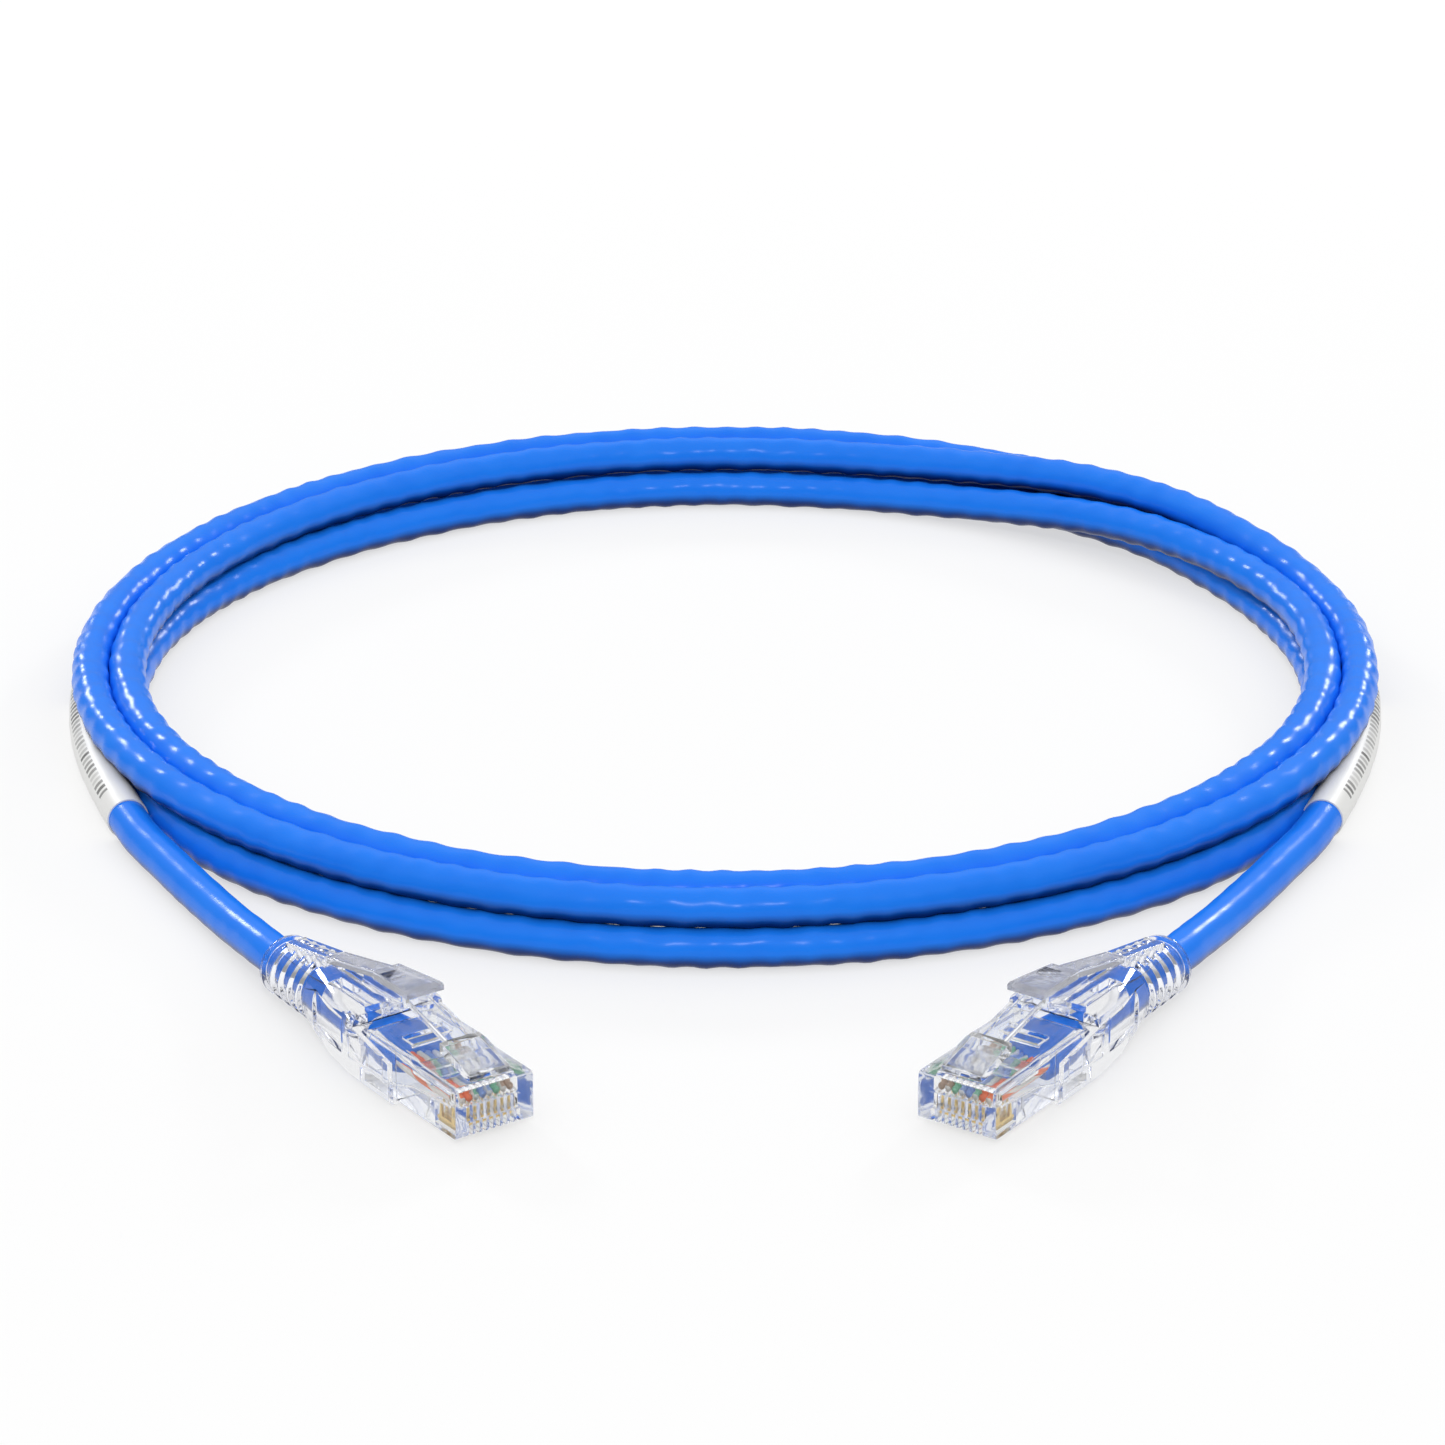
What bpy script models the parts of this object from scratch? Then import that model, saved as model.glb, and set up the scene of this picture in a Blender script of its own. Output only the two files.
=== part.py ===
"""Ethernet patch cable: a coiled blue twisted-pair lead with a clear modular plug and a clear snagless boot on
each end. Metres, +Z up. The cable lies on z = 0 with the coil behind (+Y) and the two plugs in front of it."""

import math

import bmesh
import bpy
import numpy as np
from mathutils import Vector

for leftover in list(bpy.data.objects):
    bpy.data.objects.remove(leftover, do_unlink=True)

MM = 0.001

# Cable and coil
CABLE_D = 5.5 * MM
COIL_R = 96.0 * MM  # centreline of the outermost top turn
COIL_Y = 128.05 * MM  # the coil's centre, behind the plugs
COIL_INNER = COIL_R - 10.9 * MM
COIL_OUTER = COIL_R + 4.9 * MM
COIL_HIGH = 2 * CABLE_D
COIL_STEPS = 72
TOUCH = 0.3 * MM  # gap between pieces that meet face to face

# Where a plug stands: the middle of its nose, and the turn of its axis
NOSE_X = 29.2 * MM
NOSE_Y = -20.55 * MM
PLUG_YAW = math.radians(35.0)

# Modular plug. Local axes: X across, Y back from the nose, Z up.
PLUG_W = 11.68 * MM
PLUG_LONG = 21.46 * MM
PLUG_BASE = 0.8 * MM  # the boot holds the plug this far off the table
NOSE_TOP = PLUG_BASE + 6.6 * MM
BACK_TOP = PLUG_BASE + 7.1 * MM
WAYS = 8
PITCH = 1.02 * MM
WIRE_D = 0.9 * MM
WIRE_Z = 4.9 * MM
BLADE_T = 0.35 * MM
SLOT_W = 0.55 * MM
JACKET_Z = 4.4 * MM  # the cable's axis inside the boot

# Latch and its finger tongue
LATCH_Y = 1.5 * MM
LATCH_Z = 8.1 * MM
LATCH_WIDE = 6.0 * MM
LATCH_NARROW = 3.2 * MM
TONGUE_Y = 38.4 * MM
TONGUE_Z = 10.3 * MM
HOOD_W = 5.6 * MM

# Boot
BOOT_FRONT = 14.5 * MM
BOOT_BACK = 51.3 * MM
BOOT_BORE = CABLE_D / 2 + TOUCH
RIBS = 5
RIB_START = 39.7 * MM
RIB_STEP = 2.4 * MM

# Label sleeve on each tail
SLEEVE_LONG = 48.0 * MM
SLEEVE_BORE = CABLE_D / 2 + 0.15 * MM
SLEEVE_T = 0.25 * MM


def finish(name, rgb, roughness, metallic=0.0, transmission=0.0):
    """A Principled material: base colour in linear RGB."""
    material = bpy.data.materials.new(name)
    material.use_nodes = True
    shader = material.node_tree.nodes["Principled BSDF"]
    shader.inputs["Base Color"].default_value = (*rgb, 1.0)
    shader.inputs["Roughness"].default_value = roughness
    shader.inputs["Metallic"].default_value = metallic
    shader.inputs["Transmission Weight"].default_value = transmission
    return material


JACKET = finish("blue_pvc_jacket", (0.02, 0.16, 0.78), 0.3)
CLEAR_PC = finish("clear_polycarbonate", (0.93, 0.95, 0.98), 0.08, transmission=0.9)
CLEAR_PVC = finish("clear_soft_pvc", (0.88, 0.90, 0.95), 0.2, transmission=0.85)
GOLD = finish("gold_plated_contact", (0.83, 0.61, 0.25), 0.25, metallic=1.0)
LABEL = finish("white_label_sleeve", (0.80, 0.80, 0.80), 0.45)
INSULATION = {
    "white_orange": finish("insulation_white_orange", (0.90, 0.60, 0.45), 0.4),
    "orange": finish("insulation_orange", (0.90, 0.22, 0.03), 0.4),
    "white_green": finish("insulation_white_green", (0.55, 0.82, 0.62), 0.4),
    "blue": finish("insulation_blue", (0.05, 0.15, 0.65), 0.4),
    "white_blue": finish("insulation_white_blue", (0.60, 0.72, 0.92), 0.4),
    "green": finish("insulation_green", (0.03, 0.45, 0.12), 0.4),
    "white_brown": finish("insulation_white_brown", (0.72, 0.60, 0.50), 0.4),
    "brown": finish("insulation_brown", (0.20, 0.09, 0.04), 0.4),
}
WIRE_ORDER = list(INSULATION)


def add_object(name, data, material=None, parent=None, at=(0, 0, 0)):
    """Puts data in the scene as an object; with no material it is a hidden cutter."""
    obj = bpy.data.objects.new(name, data)
    bpy.context.scene.collection.objects.link(obj)
    obj.parent = parent
    obj.location = at
    if material:
        data.materials.append(material)
    else:
        obj.hide_render = True
        obj.display_type = "WIRE"
    return obj


def mesh_of(name, points, faces):
    """A closed mesh with its faces turned outwards."""
    mesh = bpy.data.meshes.new(name)
    mesh.from_pydata([tuple(p) for p in points], [], faces)
    built = bmesh.new()
    built.from_mesh(mesh)
    bmesh.ops.recalc_face_normals(built, faces=built.faces)
    built.to_mesh(mesh)
    built.free()
    return mesh


def prism(name, outline, half_width, middle=0.0):
    """An outline of (y, z) points carried across X, from middle - half_width to middle + half_width."""
    count = len(outline)
    points = [(middle + s * half_width, y, z) for s in (-1, 1) for y, z in outline]
    sides = [(i, (i + 1) % count, count + (i + 1) % count, count + i) for i in range(count)]
    return mesh_of(name, points, [*sides, tuple(range(count)), tuple(range(2 * count - 1, count - 1, -1))])


def block(name, half_width, y0, y1, z0, z1, middle=0.0):
    """A plain box as a mesh."""
    return prism(name, [(y0, z0), (y1, z0), (y1, z1), (y0, z1)], half_width, middle)


def rounded_section(y, half_width, z0, z1, radius, per_corner=4):
    """A rounded rectangle across the plug's axis, as points that run round it once."""
    corners = ((1, z0, -90), (1, z1, 0), (-1, z1, 90), (-1, z0, 180))
    points = []
    for side, z, start in corners:
        centre_x = side * (half_width - radius)
        centre_z = z + (radius if z == z0 else -radius)
        for i in range(per_corner):
            turn = math.radians(start + 90 * i / (per_corner - 1))
            points.append((centre_x + radius * math.cos(turn), y, centre_z + radius * math.sin(turn)))
    return points


def loft(name, sections):
    """A closed skin over sections that have the same number of points."""
    count = len(sections[0])
    points = [p for section in sections for p in section]
    faces = []
    for ring in range(len(sections) - 1):
        low, high = ring * count, (ring + 1) * count
        faces += [(low + i, low + (i + 1) % count, high + (i + 1) % count, high + i) for i in range(count)]
    faces.append(tuple(range(count)))
    faces.append(tuple(range(len(points) - 1, len(points) - count - 1, -1)))
    return mesh_of(name, points, faces)


def boolean(obj, cutter, operation="DIFFERENCE"):
    """Keeps the cutter as a live, exact Boolean on obj."""
    modifier = obj.modifiers.new(cutter.name, "BOOLEAN")
    modifier.operation = operation
    modifier.object = cutter
    modifier.solver = "EXACT"


def smooth_line(knots, count):
    """Points at even lengths along a Catmull-Rom curve through the knots."""
    knots = np.array(knots, float)
    padded = np.vstack([2 * knots[0] - knots[1], knots, 2 * knots[-1] - knots[-2]])
    fine = []
    for a, b, c, d in zip(padded[:-3], padded[1:-2], padded[2:-1], padded[3:]):
        for t in np.linspace(0, 1, 20, endpoint=False):
            fine.append(
                0.5 * (2 * b + (c - a) * t + (2 * a - 5 * b + 4 * c - d) * t**2 + (3 * b - a - 3 * c + d) * t**3)
            )
    fine = np.array([*fine, knots[-1]])
    along = np.concatenate([[0], np.cumsum(np.linalg.norm(np.diff(fine, axis=0), axis=1))])
    even = np.linspace(0, along[-1], count)
    return np.stack([np.interp(even, along, fine[:, i]) for i in range(3)], axis=1)


def tube(name, points, radius, material=None, parent=None, sides=2):
    """A round tube with filled caps along a poly-line."""
    curve = bpy.data.curves.new(name, "CURVE")
    curve.dimensions = "3D"
    curve.bevel_depth = radius
    curve.bevel_resolution = sides
    curve.use_fill_caps = True
    spline = curve.splines.new("POLY")
    spline.points.add(len(points) - 1)
    for point, place in zip(spline.points, points):
        point.co = (*place, 1.0)
    return add_object(name, curve, material, parent)


def pipe_mesh(name, points, radius, steps=12):
    """A closed pipe along a line that keeps level, as a mesh that a Boolean can use."""
    points = np.array(points)
    ahead = np.gradient(points, axis=0)
    ahead /= np.linalg.norm(ahead, axis=1)[:, None]
    across = np.cross(ahead, (0, 0, 1))
    across /= np.linalg.norm(across, axis=1)[:, None]
    above = np.cross(across, ahead)
    turns = np.arange(steps) * 2 * math.pi / steps
    rings = [
        [p + radius * (math.cos(t) * u + math.sin(t) * v) for t in turns] for p, u, v in zip(points, across, above)
    ]
    return loft(name, rings)


# The tail's route from the boot to the coil, at the left; the right one mirrors it. Each point is
# (x, y from the coil's centre, z) in millimetres.
TAIL_ROUTE = [
    (-58.80, -106.33, 4.40),
    (-61.35, -102.02, 4.25),
    (-63.90, -96.90, 3.75),
    (-67.20, -90.40, 3.10),
    (-71.00, -83.10, 2.85),
    (-74.85, -75.90, 2.80),
    (-78.60, -68.50, 2.80),
    (-82.55, -60.90, 2.82),
    (-85.95, -52.60, 3.10),
    (-88.90, -43.80, 3.20),
    (-91.50, -34.90, 3.20),
    (-93.60, -26.00, 3.20),
    (-95.00, -17.40, 3.20),
    (-95.90, -8.60, 3.20),
    (-96.30, 0.20, 3.20),
]


def tail_points(side, count):
    """The tail's centreline; side is -1 at the left and 1 at the right."""
    knots = [(-side * x * MM, COIL_Y + y * MM, z * MM) for x, y, z in TAIL_ROUTE]
    return smooth_line(knots, count)


def make_coil():
    """The coil's outer shape as one turned ring, with a groove where each tail tucks in under the top turn."""
    profile = [
        (COIL_OUTER - 2 * MM, 0.0),
        (COIL_OUTER, 2 * MM),
        (COIL_OUTER, 4.4 * MM),
        (COIL_R + CABLE_D / 2, 6.8 * MM),
        (COIL_R + CABLE_D / 2, COIL_HIGH - 1.8 * MM),
        (COIL_R + 1.0 * MM, COIL_HIGH),
        (COIL_R - CABLE_D - 1.0 * MM, COIL_HIGH),
        (COIL_R - 1.5 * CABLE_D, COIL_HIGH - 1.8 * MM),
        (COIL_R - 1.5 * CABLE_D, 6.8 * MM),
        (COIL_INNER, 4.4 * MM),
        (COIL_INNER, 2 * MM),
        (COIL_INNER + 2 * MM, 0.0),
    ]
    count = len(profile)
    points = []
    for step in range(COIL_STEPS):
        turn = 2 * math.pi * step / COIL_STEPS
        points += [(r * math.cos(turn), COIL_Y + r * math.sin(turn), z) for r, z in profile]
    faces = []
    for step in range(COIL_STEPS):
        low, high = step * count, (step + 1) % COIL_STEPS * count
        faces += [(low + i, low + (i + 1) % count, high + (i + 1) % count, high + i) for i in range(count)]
    coil = add_object("cable_coil", mesh_of("cable_coil", points, faces), JACKET)
    for side, letter in ((-1, "a"), (1, "b")):
        line = tail_points(side, 45)[18:]
        beyond = line[-1] + (line[-1] - line[-2]) / np.linalg.norm(line[-1] - line[-2]) * TOUCH
        lowest = np.vstack([line, beyond])
        groove = pipe_mesh(f"coil_groove_{letter}", lowest, SLEEVE_BORE + SLEEVE_T + TOUCH)
        boolean(coil, add_object(f"coil_groove_{letter}", groove))
        floor = [p - Vector((0, 0, 3 * MM)) for p in map(Vector, lowest)]
        opened = pipe_mesh(f"coil_groove_floor_{letter}", floor, SLEEVE_BORE + SLEEVE_T + TOUCH)
        boolean(coil, add_object(f"coil_groove_floor_{letter}", opened))
    return coil


def make_tail(side, letter):
    """The straight stretch of cable between boot and coil."""
    tube(f"cable_tail_{letter}", tail_points(side, 45), CABLE_D / 2, JACKET)


def make_sleeve(side, letter):
    """The printed label sleeve shrunk on the tail, just before it goes under the coil."""
    line = tail_points(side, 400)
    back = np.concatenate([[0], np.cumsum(np.linalg.norm(np.diff(line[::-1], axis=0), axis=1))])[::-1]
    span = line[(back > 2 * MM) & (back < 2 * MM + SLEEVE_LONG)][::12]
    outside = pipe_mesh(f"label_sleeve_{letter}", span, SLEEVE_BORE + SLEEVE_T, 16)
    sleeve = add_object(f"label_sleeve_{letter}", outside, LABEL)
    longer = np.vstack([2 * span[0] - span[1], span, 2 * span[-1] - span[-2]])
    bore = pipe_mesh(f"sleeve_bore_{letter}", longer, SLEEVE_BORE, 16)
    boolean(sleeve, add_object(f"sleeve_bore_{letter}", bore))


def way_x(way):
    """Where contact and wire number way (1 to 8) sit across the plug."""
    return (way - (WAYS + 1) / 2) * PITCH


def make_housing(letter, frame):
    """The clear moulded plug body: nose, comb of contact slots, wire chamber and strain-relief window."""
    side_view = [
        (0.5 * MM, PLUG_BASE),
        (PLUG_LONG, PLUG_BASE),
        (PLUG_LONG, BACK_TOP),
        (11.0 * MM, BACK_TOP),
        (9.0 * MM, NOSE_TOP),
        (0.5 * MM, NOSE_TOP),
        (0.0, NOSE_TOP - 0.5 * MM),
        (0.0, PLUG_BASE + 0.5 * MM),
    ]
    name = f"plug_housing_{letter}"
    housing = add_object(name, prism(name, side_view, PLUG_W / 2), CLEAR_PC, frame)
    chamber = [
        rounded_section(2.4 * MM, 4.45 * MM, 4.25 * MM, 6.2 * MM, 0.3 * MM),
        rounded_section(11.0 * MM, 4.45 * MM, 3.6 * MM, 6.5 * MM, 0.4 * MM),
        rounded_section(15.0 * MM, 4.8 * MM, 2.2 * MM, 6.9 * MM, 0.8 * MM),
        rounded_section(PLUG_LONG + 1 * MM, 4.9 * MM, 1.5 * MM, 7.2 * MM, 1.6 * MM),
    ]
    boolean(housing, add_object(f"wire_chamber_{letter}", loft(f"wire_chamber_{letter}", chamber), None, frame))
    window = block(f"strain_window_{letter}", 3.0 * MM, 14.6 * MM, 17.2 * MM, 5.5 * MM, 9.0 * MM)
    boolean(housing, add_object(window.name, window, None, frame))
    for part, across, low, high in (("left", -6.79, 0, 9), ("right", 6.79, 0, 9), ("under", 0, -0.15, 0.85)):
        half = 7 * MM if part == "under" else 1 * MM
        relief = block(f"boot_seat_{part}_{letter}", half, 14.2 * MM, 23 * MM, low * MM, high * MM, across * MM)
        boolean(housing, add_object(relief.name, relief, None, frame))
    for way in range(1, WAYS + 1):
        name = f"contact_slot_{letter}{way}"
        slot = block(name, SLOT_W / 2, -1 * MM, 6.3 * MM, 0.2 * MM, 3.1 * MM, way_x(way))
        boolean(housing, add_object(name, slot, None, frame))
        name = f"contact_pocket_{letter}{way}"
        pocket = block(name, SLOT_W / 2, 1.0 * MM, 6.3 * MM, 2.9 * MM, 4.6 * MM, way_x(way))
        boolean(housing, add_object(name, pocket, None, frame))


def make_contacts(letter, frame):
    """Eight gold-plated blades, each standing in its slot with its edge down and its teeth under the wire."""
    blade = [
        (1.5 * MM, 1.7 * MM),
        (2.0 * MM, 1.25 * MM),
        (5.4 * MM, 1.25 * MM),
        (5.9 * MM, 1.7 * MM),
        (5.9 * MM, 3.7 * MM),
        (5.2 * MM, 4.3 * MM),
        (4.5 * MM, 3.7 * MM),
        (2.9 * MM, 3.7 * MM),
        (2.2 * MM, 4.3 * MM),
        (1.5 * MM, 3.7 * MM),
    ]
    for way in range(1, WAYS + 1):
        name = f"contact_{letter}{way}"
        add_object(name, prism(name, blade, BLADE_T / 2, way_x(way)), GOLD, frame)


def make_wires(letter, frame, colours):
    """Eight insulated conductors, side by side over the contacts and gathered back into the jacket."""
    for way, colour in zip(range(1, WAYS + 1), colours):
        x = way_x(way)
        knots = [
            (x, 2.8 * MM, WIRE_Z),
            (x, 7.0 * MM, WIRE_Z),
            (x, 11.0 * MM, WIRE_Z),
            (x * 0.93, 13.4 * MM, WIRE_Z - 0.1 * MM),
        ]
        tube(f"wire_{letter}{way}", smooth_line(knots, 7), WIRE_D / 2, INSULATION[colour], frame, sides=1)


def make_wire_guide(letter, frame):
    """The flat bar that keeps the eight wires in line."""
    name = f"wire_guide_{letter}"
    outline = [
        (7.2 * MM, WIRE_Z + WIRE_D / 2 + 0.1 * MM),
        (11.6 * MM, WIRE_Z + WIRE_D / 2 + 0.1 * MM),
        (11.6 * MM, 6.1 * MM),
        (8.0 * MM, 6.1 * MM),
        (7.2 * MM, 5.8 * MM),
    ]
    add_object(name, prism(name, outline, 4.1 * MM), CLEAR_PC, frame)


def make_strain_relief(letter, frame):
    """The wedge that the crimp tool drives down on the jacket."""
    name = f"strain_relief_bar_{letter}"
    outline = [
        (14.95 * MM, 7.6 * MM),
        (14.95 * MM, 6.6 * MM),
        (15.4 * MM, 6.0 * MM),
        (16.85 * MM, 6.9 * MM),
        (16.85 * MM, 7.6 * MM),
    ]
    add_object(name, prism(name, outline, 2.6 * MM), CLEAR_PC, frame)


def make_jacket_end(letter, frame):
    """The last of the jacket, inside the boot and the plug, flattened under the strain-relief bar."""
    round_r = CABLE_D / 2
    sections = [
        rounded_section(14.3 * MM, 4.3 * MM, 3.0 * MM, 5.6 * MM, 1.25 * MM),
        rounded_section(15.6 * MM, 4.3 * MM, 2.9 * MM, 5.6 * MM, 1.3 * MM),
        rounded_section(18.5 * MM, 4.2 * MM, 2.4 * MM, 6.5 * MM, 1.9 * MM),
        rounded_section(24.0 * MM, 3.2 * MM, 1.8 * MM, 7.0 * MM, 2.5 * MM),
        rounded_section(30.0 * MM, round_r, JACKET_Z - round_r, JACKET_Z + round_r, round_r * 0.999),
        rounded_section(BOOT_BACK, round_r, JACKET_Z - round_r, JACKET_Z + round_r, round_r * 0.999),
    ]
    name = f"jacket_end_{letter}"
    add_object(name, loft(name, sections), JACKET, frame)


def make_latch(letter, frame):
    """The latch lever: wide locking part from the nose, then the narrow finger end. Its origin is its hinge line."""
    wide = [
        (1.0 * MM, 7.75 * MM),
        (2.2 * MM, 7.75 * MM),
        (8.2 * MM, 9.1 * MM),
        (8.2 * MM, 10.55 * MM),
        (7.2 * MM, 10.45 * MM),
        (2.0 * MM, 9.1 * MM),
        (1.0 * MM, 8.6 * MM),
    ]
    narrow = [
        (6.0 * MM, 8.75 * MM),
        (18.5 * MM, 11.55 * MM),
        (18.5 * MM, 12.65 * MM),
        (6.0 * MM, 9.9 * MM),
    ]
    name = f"latch_{letter}"
    at = (0, LATCH_Y, LATCH_Z)
    shift = [(y - LATCH_Y, z - LATCH_Z) for y, z in wide]
    latch = add_object(name, prism(name, shift, LATCH_WIDE / 2), CLEAR_PC, frame, at)
    tail = prism(f"latch_tail_{letter}", [(y - LATCH_Y, z - LATCH_Z) for y, z in narrow], LATCH_NARROW / 2)
    boolean(latch, add_object(tail.name, tail, None, frame, at), "UNION")


def make_tongue(letter, frame):
    """The boot's springy tongue: a narrow spine that rises to a hood over the latch. Its origin is its hinge line."""
    spine = [
        (TONGUE_Y, 9.85 * MM),
        (TONGUE_Y, 10.75 * MM),
        (25.0 * MM, 13.6 * MM),
        (25.0 * MM, 12.5 * MM),
    ]
    hood = [
        (25.8 * MM, 12.4 * MM),
        (25.8 * MM, 13.7 * MM),
        (16.6 * MM, 14.4 * MM),
        (16.0 * MM, 14.2 * MM),
        (16.0 * MM, 13.4 * MM),
    ]
    name = f"boot_tongue_{letter}"
    at = (0, TONGUE_Y, TONGUE_Z)
    plate = prism(name, [(y - TONGUE_Y, z - TONGUE_Z) for y, z in hood], HOOD_W / 2)
    tongue = add_object(name, plate, CLEAR_PVC, frame, at)
    strip = prism(f"tongue_spine_{letter}", [(y - TONGUE_Y, z - TONGUE_Z) for y, z in spine], 1.5 * MM)
    boolean(tongue, add_object(strip.name, strip, None, frame, at), "UNION")


def boot_sections():
    """The boot's outside: side skirts, a box-like middle, then a ribbed round neck."""
    sections = [
        rounded_section(BOOT_FRONT, 6.9 * MM, 0.0, 8.6 * MM, 1.2 * MM),
        rounded_section(24.0 * MM, 6.9 * MM, 0.0, 9.45 * MM, 1.5 * MM),
        rounded_section(30.0 * MM, 6.4 * MM, 0.0, 9.45 * MM, 2.0 * MM),
        rounded_section(34.8 * MM, 5.5 * MM, 0.0, 9.35 * MM, 3.0 * MM),
        rounded_section(RIB_START, 4.65 * MM, 0.0, 9.2 * MM, 4.4 * MM),
    ]
    for rib in range(RIBS):
        start = RIB_START + rib * RIB_STEP
        big = (4.6 - 0.09 * rib) * MM
        small = big - 0.6 * MM
        middle = JACKET_Z + (0.15 - 0.04 * rib) * MM
        for y, r in ((0.1, small), (1.1, small), (1.3, big), (2.3, big)):
            sections.append(rounded_section(start + y * MM, r, middle - r, middle + r, r * 0.999))
    return sections


def make_boot(letter, frame):
    """The clear snagless boot, hollow, with windows in its top and sides."""
    name = f"boot_{letter}"
    boot = add_object(name, loft(name, boot_sections()), CLEAR_PVC, frame)
    ridge = [(38.7 * MM, 8.6 * MM), (48.8 * MM, 7.6 * MM), (48.8 * MM, 9.0 * MM), (38.7 * MM, 10.7 * MM)]
    ridge_mesh = prism(f"boot_ridge_{letter}", ridge, 1.5 * MM)
    boolean(boot, add_object(ridge_mesh.name, ridge_mesh, None, frame), "UNION")
    bore = BOOT_BORE
    axis = JACKET_Z
    hollow = [
        rounded_section(BOOT_FRONT - 1 * MM, PLUG_W / 2 + TOUCH, 0.5 * MM, BACK_TOP + TOUCH, 0.2 * MM),
        rounded_section(PLUG_LONG + 0.6 * MM, PLUG_W / 2 + TOUCH, 0.5 * MM, BACK_TOP + TOUCH, 0.2 * MM),
        rounded_section(PLUG_LONG + 1.6 * MM, 4.6 * MM, 1.0 * MM, 8.0 * MM, 1.5 * MM),
        rounded_section(31.5 * MM, 3.9 * MM, 1.0 * MM, 8.0 * MM, 2.6 * MM),
        rounded_section(36.5 * MM, bore, axis - bore, axis + bore, bore * 0.999),
        rounded_section(BOOT_BACK + 2 * MM, bore, axis - bore, axis + bore, bore * 0.999),
    ]
    boolean(boot, add_object(f"boot_hollow_{letter}", loft(f"boot_hollow_{letter}", hollow), None, frame))
    top_front = [(BOOT_FRONT - 2 * MM, 5.6 * MM), (23.2 * MM, 7.8 * MM), (23.2 * MM, 11 * MM), (12 * MM, 11 * MM)]
    cuts = [prism(f"boot_front_cut_{letter}", top_front, 8 * MM)]
    for side, word in ((-1, "left"), (1, "right")):
        windows = (
            ("top", 1.5, 24.8, 32.4, 7.0, 11.0, 3.1),
            ("rear", 3.0, 27.4, 35.6, 3.4, 7.2, 6.8),
            ("fore", 2.0, 16.6, 25.4, 3.2, 6.2, 8.0),
        )
        for where, half, y0, y1, z0, z1, x in windows:
            cut_name = f"boot_window_{where}_{word}_{letter}"
            cuts.append(block(cut_name, half * MM, y0 * MM, y1 * MM, z0 * MM, z1 * MM, side * x * MM))
    for cut in cuts:
        boolean(boot, add_object(cut.name, cut, None, frame))


def make_plug_end(side, letter, colours):
    """One terminated end: every piece hangs on an empty that stands at the plug's nose."""
    frame = bpy.data.objects.new(f"plug_frame_{letter}", None)
    bpy.context.scene.collection.objects.link(frame)
    frame.location = (side * NOSE_X, NOSE_Y, 0)
    frame.rotation_euler = (0, 0, -side * PLUG_YAW)
    make_housing(letter, frame)
    make_contacts(letter, frame)
    make_wires(letter, frame, colours)
    make_wire_guide(letter, frame)
    make_strain_relief(letter, frame)
    make_jacket_end(letter, frame)
    make_latch(letter, frame)
    make_tongue(letter, frame)
    make_boot(letter, frame)


make_coil()
for end_side, end_letter, order in ((-1, "a", WIRE_ORDER), (1, "b", WIRE_ORDER[::-1])):
    make_tail(end_side, end_letter)
    make_sleeve(end_side, end_letter)
    make_plug_end(end_side, end_letter, order)

for made in bpy.data.objects:
    if made.type == "MESH" and not made.hide_render and made.name.startswith(("cable", "label", "jacket")):
        made.data.shade_smooth()
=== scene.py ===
"""Ethernet patch cable: the looks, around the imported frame.

The frame is in metres. Sizes here are in millimetres, and MM turns them to metres.
"""

import math

import bmesh
import bpy
import numpy as np
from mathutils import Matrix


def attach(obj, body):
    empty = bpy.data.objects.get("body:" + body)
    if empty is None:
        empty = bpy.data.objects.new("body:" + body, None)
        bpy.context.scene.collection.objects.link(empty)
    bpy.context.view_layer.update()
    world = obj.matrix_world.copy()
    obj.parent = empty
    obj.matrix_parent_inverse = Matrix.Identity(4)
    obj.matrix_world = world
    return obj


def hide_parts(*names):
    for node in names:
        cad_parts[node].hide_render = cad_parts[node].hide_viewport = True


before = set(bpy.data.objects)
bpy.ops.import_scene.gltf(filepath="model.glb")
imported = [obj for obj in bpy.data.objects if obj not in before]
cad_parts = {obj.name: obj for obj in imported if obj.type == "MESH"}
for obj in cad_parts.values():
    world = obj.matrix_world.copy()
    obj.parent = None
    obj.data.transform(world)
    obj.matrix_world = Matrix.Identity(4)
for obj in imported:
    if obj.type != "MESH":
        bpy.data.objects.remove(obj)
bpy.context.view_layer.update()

# --- Stage: a plain pale table, studio light from a bright tent, and the camera at the front ---------
# The table is one large white sheet that gives off a little light of its own. Three round soft boxes stand
# round the object, two behind and one in front, and give the jacket its highlights.

MM = 0.001
COIL_Y = 128.05


def add_node(tree, kind, links=(), **settings):
    """Adds one shader node. links pairs an input's name with a value or with another node's output."""
    made = tree.nodes.new(kind)
    for key, value in settings.items():
        setattr(made, key, value)
    for socket, source in links:
        if isinstance(source, bpy.types.NodeSocket):
            tree.links.new(source, made.inputs[socket])
        else:
            made.inputs[socket].default_value = source
    return made


def linear(code, alpha=1.0):
    """An sRGB hex colour as linear RGBA."""
    channels = [int(code[i : i + 2], 16) / 255 for i in (1, 3, 5)]
    return (*(c / 12.92 if c <= 0.04045 else ((c + 0.055) / 1.055) ** 2.4 for c in channels), alpha)


def new_material(name):
    """An empty node material, its Principled shader and its tree."""
    made = bpy.data.materials.new(name)
    made.use_nodes = True
    return made, made.node_tree.nodes["Principled BSDF"], made.node_tree


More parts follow.
